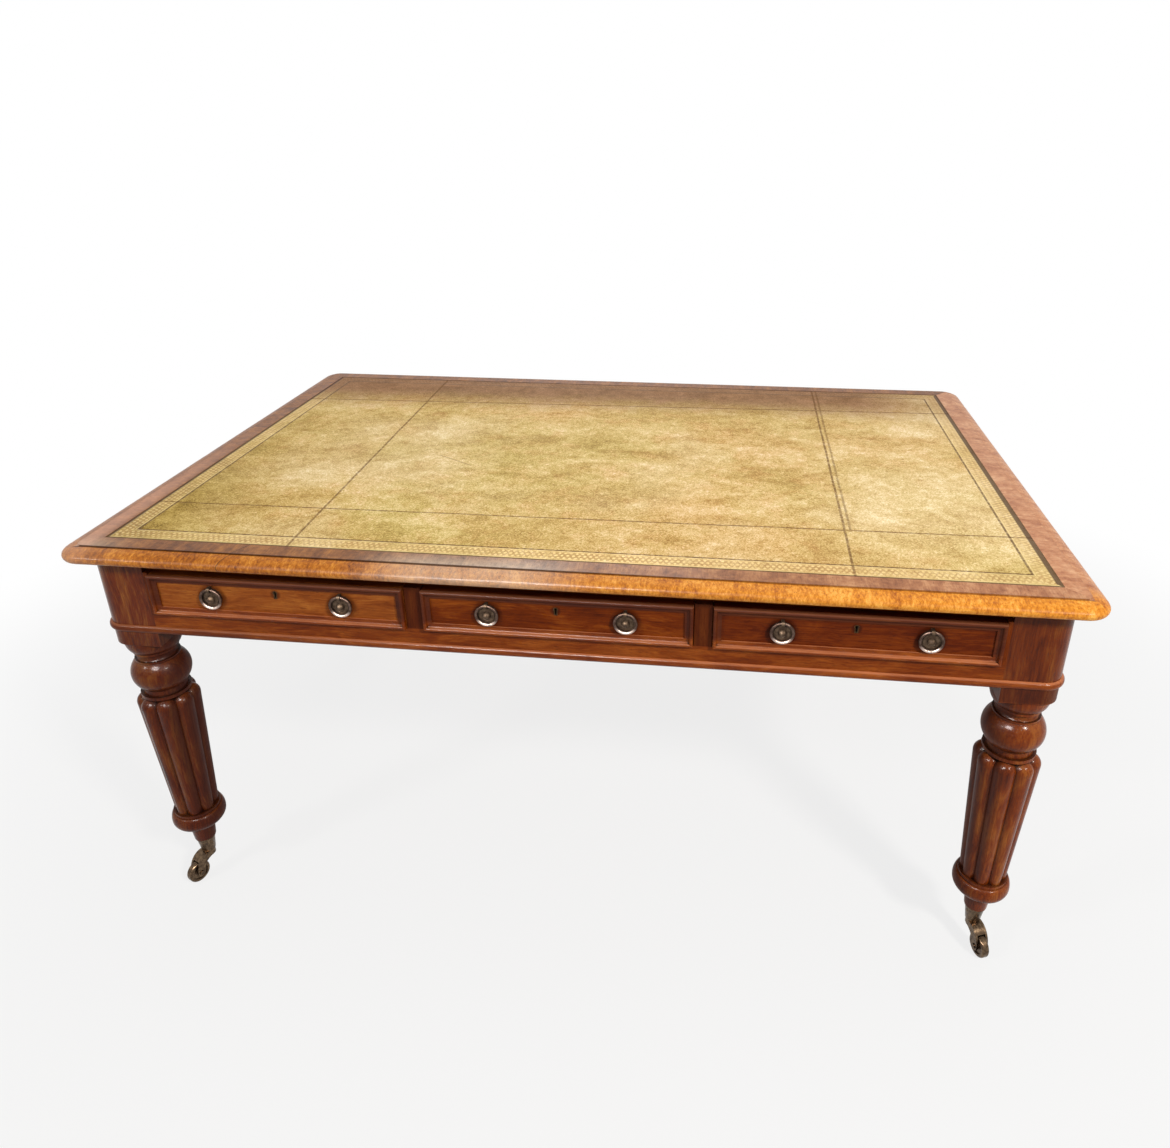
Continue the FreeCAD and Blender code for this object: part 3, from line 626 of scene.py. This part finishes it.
def tooled_band(edge, along):
    """Interlaced waves with dots, and the fillets on both sides."""
    across = (edge - band_middle) / band_half
    wave = (along * (2 * math.pi / band_repeat)).sine() * wave_share
    strands = (across - wave).stroke(0.13, 0.12).most((across + wave).stroke(0.13, 0.12))
    step = (along + band_repeat / 4).wrapped(band_repeat / 4) / band_half
    dots = (step * step + across * across).ramp(0.050, 0.022)
    from_crest = step - band_repeat / 4 / band_half
    from_side = abs(across) - sprig_share
    sprigs = (from_crest * from_crest + from_side * from_side).ramp(0.050, 0.022)
    fillets = (abs(across) - fillet_share).stroke(0.055, 0.06)
    return strands, dots.most(sprigs).most(fillets)


def leather_seams(finish, x, y):
    """Joins between the skins, a little crooked; the right one is double behind the front seam."""
    wobble = (finish.noise(finish.place, 9.0, 2.0) - 0.5) * 0.003
    left = (x + y * left_seam_slant - left_seam_x + wobble).stroke(*side_seam)
    right = (x - right_seam_x + wobble).stroke(*side_seam)
    second = (x - second_seam_x + wobble).stroke(*second_seam)
    behind = y.ramp(front_seam_y - 0.0025, front_seam_y + 0.0035)
    front = (y - x * front_seam_slant - front_seam_y + wobble).stroke(*front_seam)
    back = (y - x * back_seam_slant - back_seam_y + wobble).stroke(*back_seam)
    return left.most(right).most(second * behind * 0.7).most(front).most(back)


def leather_scratch(x, y):
    """A short slanting scratch at the left."""
    over, up = x - scratch_place[0], y - scratch_place[1]
    along = over * scratch_along[0] + up * scratch_along[1]
    aside = up * scratch_along[0] - over * scratch_along[1]
    length = (along - scratch_middle).stroke(scratch_half_length, 0.006)
    return aside.stroke(*scratch_line) * length


def gilt_leather():
    """The writing surface, with its tooled band and lines, its seams and its dark far side."""
    finish = Finish("gilt_leather")
    x, y = finish.place_on("X"), finish.place_on("Y")
    edge_x = top_half_length - abs(x)
    edge_y = top_half_depth - abs(y)
    edge = edge_x.least(edge_y)
    on_end = edge_x < edge_y
    along = x + (y - x) * on_end

    clouds = finish.noise(finish.stretched((7.0, 11.0, 7.0)), 1.0, 5.0, 0.62, 0.8)
    blotch = finish.noise(finish.shifted((3.0, 1.0, 0.0)), 45.0, 4.0, 0.70)
    fibres = finish.noise(finish.place, 170.0, 4.0, 0.72, 1.4)
    fleck = finish.noise(finish.place, 420.0, 2.0, 0.7)
    tone = (clouds * 0.52 + blotch * 0.36 + fibres * 0.62 + fleck * 0.66 - 0.58).clamped()
    colour = leather_ground(finish, x, y, tone)

    in_band = (edge - band_middle).stroke(band_ground_half, 0.001)
    colour = finish.mix(in_band * 0.25, colour, band_ground)
    worn = finish.noise(finish.place, 60.0, 3.0).ramp(0.30, 0.56)
    strands, marks = tooled_band(edge, along)
    stamped = strands * in_band * (0.30 + worn * 0.70)
    gilt = marks * in_band * (0.25 + worn * 0.75)
    colour = finish.mix(stamped * 0.42, colour, stamped_brown)
    colour = finish.mix(gilt * 0.6, colour, gilt_yellow)

    # Darker brown towards the back: partly a painted reflection.
    far_side = (y + (clouds - 0.5) * 0.14).ramp(*far_side_y)
    far_side = far_side * (0.45 + x.ramp(*far_side_x) * 0.55)
    colour = finish.mix(far_side * 0.92, colour, finish.colours(tone, far_side_brown))

    seams = leather_seams(finish, x, y)
    broken = 0.55 + finish.noise(finish.place, 130.0, 2.0).ramp(0.35, 0.6) * 0.45
    colour = finish.mix(seams * broken * 0.80, colour, seam_brown)
    tooled = (edge - tooled_line_in).stroke(*tooled_line)
    colour = finish.mix(tooled * broken * 0.85, colour, tooled_brown)
    extra = on_end * (end_shadow_extra + (x > 0.0) * right_shadow_extra)
    shadow_line = (edge - leather_edge - (shadow_width + extra)).ramp(0.0016, -0.0016)
    colour = finish.mix(shadow_line * 0.88, colour, edge_shadow)
    colour = finish.mix(leather_scratch(x, y) * 0.65, colour, scratch_brown)

    pressed = seams.most(tooled).most(gilt * 0.5).most(stamped * 0.7)
    height = finish.pebbles(620.0) * 0.30 + fleck * 0.15 - pressed * 0.9
    polish = finish.noise(finish.place, 11.0, 4.0, 0.6)
    return finish.surface(
        Base_Color=colour,
        Roughness=0.50 + polish * 0.16 - gilt * 0.10 + seams * 0.2,
        Metallic=gilt * 0.45,
        Normal=finish.bump(height, depth=0.0005, strength=0.45),
        Specular_IOR_Level=0.10,
    )


# Brass

def aged_brass(name, bright, dull, tarnish, matt, lit_height=None):
    """Tarnished brass; below the lit height, where one is given, it is painted lighter: painted
    light.
    """
    finish = Finish(name)
    patches = finish.noise(finish.place, 170.0, 4.0, 0.65)
    grain = finish.noise(finish.place, 900.0, 2.0)
    colour = finish.colours(patches, [(0.36, dull), (0.62, bright)])
    # Lighter below the given height: painted light on the lower part of a ring.
    if lit_height:
        worn = finish.place_on("Z").ramp(lit_height + 0.005, lit_height - 0.005)
        colour = finish.mix(worn, colour, lit_brass)
    # Hollows darkened: dirt and painted shade.
    grime_and_shade = finish.hollows(0.006).ramp(0.10, 0.65) * 0.9
    dark = grime_and_shade.most(patches.ramp(0.44, 0.30) * tarnish)
    colour = finish.mix(dark, colour, brass_grime)
    return finish.surface(
        Base_Color=colour,
        Metallic=1.0 - dark * 0.65,
        Roughness=matt + patches * 0.22 + dark * 0.3,
        Normal=finish.bump(patches * 0.6 + grain * 0.2, depth=0.0003, strength=0.4),
    )


# Every piece of the table takes its finish

def give(material, *names):
    for name in names:
        mesh = table[name].data
        mesh.materials.clear()
        mesh.materials.append(material)


def finish_top():
    front = border_wood("border_mahogany_front", "Y", gold=1.0, quirk_depth=0.80, right_glow=0.72)
    back = border_wood("border_mahogany_back", "Y", gold=0.2, quirk_depth=0.25, right_glow=0.0)
    ends = border_wood("border_mahogany_ends", "X", gold=0.08, quirk_depth=0.12, right_glow=1.0)
    give(front, "top_border_front")
    give(back, "top_border_back")
    give(ends, "top_border_ends")
    give(gilt_leather(), "leather_inset")


def finish_frame():
    long_wood = mahogany("frieze_mahogany_long", "X", polish=0.22, sheen=0.07, **frieze_tones)
    end_wood = mahogany("frieze_mahogany_ends", "Y", polish=0.22, sheen=0.07, **frieze_tones)
    upright_wood = mahogany(
        "frieze_mahogany_upright",
        "Z",
        polish=0.22,
        sheen=0.05,
        darkened=darkened_dividers,
        **frieze_tones,
    )
    bead_wood = mahogany(
        "bead_mahogany",
        "X",
        polish=0.14,
        sheen=0.10,
        rubbed=0.60,
        darkened=darkened_beads,
        **frieze_tones,
    )
    give(long_wood, "front_rail", "front_top_rail", "back_frieze")
    give(end_wood, "end_frieze_left", "end_frieze_right")
    give(upright_wood, "drawer_uprights")
    give(bead_wood, "frieze_beads")
    give(bare_wood("inner_pine", "X", pine_tones), "top_panel", "drawer_stops", "glue_blocks")
    give(bare_wood("inner_pine_deep", "Y", pine_tones), "drawer_runners")


def finish_legs():
    for side, darkened in (("left", darkened_left_legs), ("right", darkened_right_legs)):
        leg_wood = mahogany(
            "leg_mahogany_" + side,
            "Z",
            polish=0.08,
            sheen=0.10,
            rubbed=0.10,
            darkened=darkened,
            grime_and_shade_reach=0.038,
            **lit_and_shaded_leg_tones[side],
        )
        give(leg_wood, "leg_front_" + side, "leg_back_" + side)


def finish_drawers():
    moulded_wood = mahogany(
        "moulding_mahogany",
        "X",
        polish=0.14,
        sheen=0.10,
        rubbed=0.66,
        darkened=darkened_mouldings,
        **frieze_tones,
    )
    oak_long = bare_wood("drawer_oak_long", "X", oak_tones)
    oak_deep = bare_wood("drawer_oak_deep", "Y", oak_tones)
    ring_brass = aged_brass(
        "aged_brass_rings",
        bright=(0.125, 0.082, 0.064),
        dull=(0.046, 0.026, 0.019),
        tarnish=0.5,
        matt=0.30,
        lit_height=ring_lit_height,
    )
    rose_brass = aged_brass(
        "aged_brass_roses",
        bright=(0.112, 0.076, 0.050),
        dull=(0.036, 0.021, 0.013),
        tarnish=0.7,
        matt=0.40,
    )
    lock_brass = aged_brass(
        "lock_brass",
        bright=(0.110, 0.060, 0.025),
        dull=(0.045, 0.022, 0.010),
        tarnish=0.9,
        matt=0.24,
    )
    for drawer in drawers:
        name = "drawer_" + drawer
        front_wood = mahogany(
            "drawer_mahogany_" + drawer,
            "X",
            polish=0.22,
            sheen=0.05,
            darkened=darkened_front(drawer),
            **lit_and_shaded_drawer_tones[drawer],
        )
        give(front_wood, name + "_front")
        give(moulded_wood, name + "_moulding")
        give(oak_deep, name + "_sides")
        give(oak_long, name + "_back", name + "_bottom")
        give(lock_brass, name + "_lock")
        give(rose_brass, name + "_roses")
        give(ring_brass, name + "_ring_left", name + "_ring_right")


def finish_castors():
    castor_brass = aged_brass(
        "aged_brass_castors",
        bright=(0.165, 0.110, 0.066),
        dull=(0.052, 0.032, 0.020),
        tarnish=0.6,
        matt=0.16,
    )
    give(castor_brass, "castor_cups", "castor_screws")
    for place in leg_places:
        give(castor_brass, *[f"castor_{piece}_{place}" for piece in ("horn", "axle", "wheel")])


# Floor, light and camera

def lay_floor():
    """A wide pale floor that keeps the table's shadow and fades to white far out."""
    finish = Finish("pale_floor")
    x, y = finish.place_on("X"), finish.place_on("Y")
    far = (x * x + y * y).ramp(1.2, 4.5)
    share = (0.80 + far * 0.20) * finish.sees_background()
    shade = finish.node("ShaderNodeBsdfDiffuse", {}, {"Color": (0.55, 0.55, 0.55, 1.0)})
    white_light = {"Color": (1.0, 1.0, 1.0, 1.0), "Strength": 1.0}
    white = finish.node("ShaderNodeEmission", {}, white_light)
    blend = finish.node("ShaderNodeMixShader", {}, {0: share, 1: shade, 2: white})
    finish.node("ShaderNodeOutputMaterial", {}, {"Surface": blend})
    mesh = bpy.data.meshes.new("floor")
    reach = 9.0
    corners = [(-reach, -reach, 0), (reach, -reach, 0), (reach, reach, 0), (-reach, reach, 0)]
    mesh.from_pydata(corners, [], [(0, 1, 2, 3)])
    mesh.materials.append(finish.material)
    ground = bpy.data.objects.new("floor", mesh)
    scene.collection.objects.link(ground)


def hang_backdrop():
    """Even soft light all round, seen as plain white."""
    world = bpy.data.worlds.new("studio")
    world.use_nodes = True
    scene.world = world
    workings = Workings(world.node_tree)
    strength = 0.34 + workings.sees_background() * 0.66
    soft_light = {"Color": (1.0, 1.0, 1.0, 1.0), "Strength": strength}
    light = workings.node("ShaderNodeBackground", {}, soft_light)
    workings.node("ShaderNodeOutputWorld", {}, {"Surface": light})


def hang_lamp(name, place, target, size, power, colour=(1.0, 1.0, 1.0), lights_matt=True):
    data = bpy.data.lights.new(name, "AREA")
    data.shape = "RECTANGLE"
    data.size, data.size_y = size
    data.energy = power
    data.color = colour
    holder = bpy.data.objects.new(name, data)
    holder.location = place
    aim = Vector(target) - Vector(place)
    holder.rotation_euler = aim.to_track_quat("-Z", "Y").to_euler()
    holder.visible_diffuse = lights_matt
    scene.collection.objects.link(holder)


def hang_lamps():
    """Four soft lamps, and a softbox that only makes highlights."""
    warm = (1.0, 0.96, 0.90)
    mild = (1.0, 0.98, 0.95)
    hang_lamp(
        "key_light",
        place=(2.2, -2.4, 2.7),
        target=(0.1, -0.3, 0.50),
        size=(0.45, 0.45),
        power=104.0,
        colour=warm,
    )
    hang_lamp(
        "fill_light",
        place=(-2.4, -2.2, 2.3),
        target=(-0.2, -0.2, 0.45),
        size=(0.40, 0.40),
        power=30.0,
        colour=mild,
    )
    hang_lamp(
        "top_light",
        place=(0.2, 0.4, 3.2),
        target=(0, 0, 0.75),
        size=(2.4, 1.8),
        power=24.0,
    )
    hang_lamp(
        "window_light",
        place=(-0.45, 2.7, 2.5),
        target=(0, 0, 0.75),
        size=(1.2, 0.6),
        power=14.0,
    )
    hang_lamp(
        "front_softbox",
        place=(-0.45, -2.0, 2.0),
        target=(0.0, -0.45, 0.5),
        size=(0.95, 0.60),
        power=100.0,
        lights_matt=False,
    )


def set_camera():
    pitch, yaw, roll = (math.radians(angle) for angle in camera_turns)
    level = Vector((math.cos(yaw), -math.sin(yaw), 0))
    ahead = Vector((math.sin(yaw), math.cos(yaw), 0))
    forward = ahead * math.cos(pitch) - Vector((0, 0, math.sin(pitch)))
    rise = level.cross(forward)
    right = level * math.cos(roll) + rise * math.sin(roll)
    up = rise * math.cos(roll) - level * math.sin(roll)
    data = bpy.data.cameras.new("photo_camera")
    data.sensor_fit = "HORIZONTAL"
    data.sensor_width = sensor_width
    data.lens = focal_length * sensor_width / picture_width
    data.shift_x = (picture_width / 2 - picture_middle[0]) / picture_width
    data.shift_y = (picture_middle[1] - picture_height / 2) / picture_width
    holder = bpy.data.objects.new("photo_camera", data)
    turn = Matrix((right, up, -forward)).transposed().to_4x4()
    holder.matrix_world = Matrix.Translation(camera_place) @ turn
    scene.collection.objects.link(holder)
    scene.camera = holder


finish_top()
finish_frame()
finish_legs()
finish_drawers()
finish_castors()
lay_floor()
hang_backdrop()
hang_lamps()
set_camera()
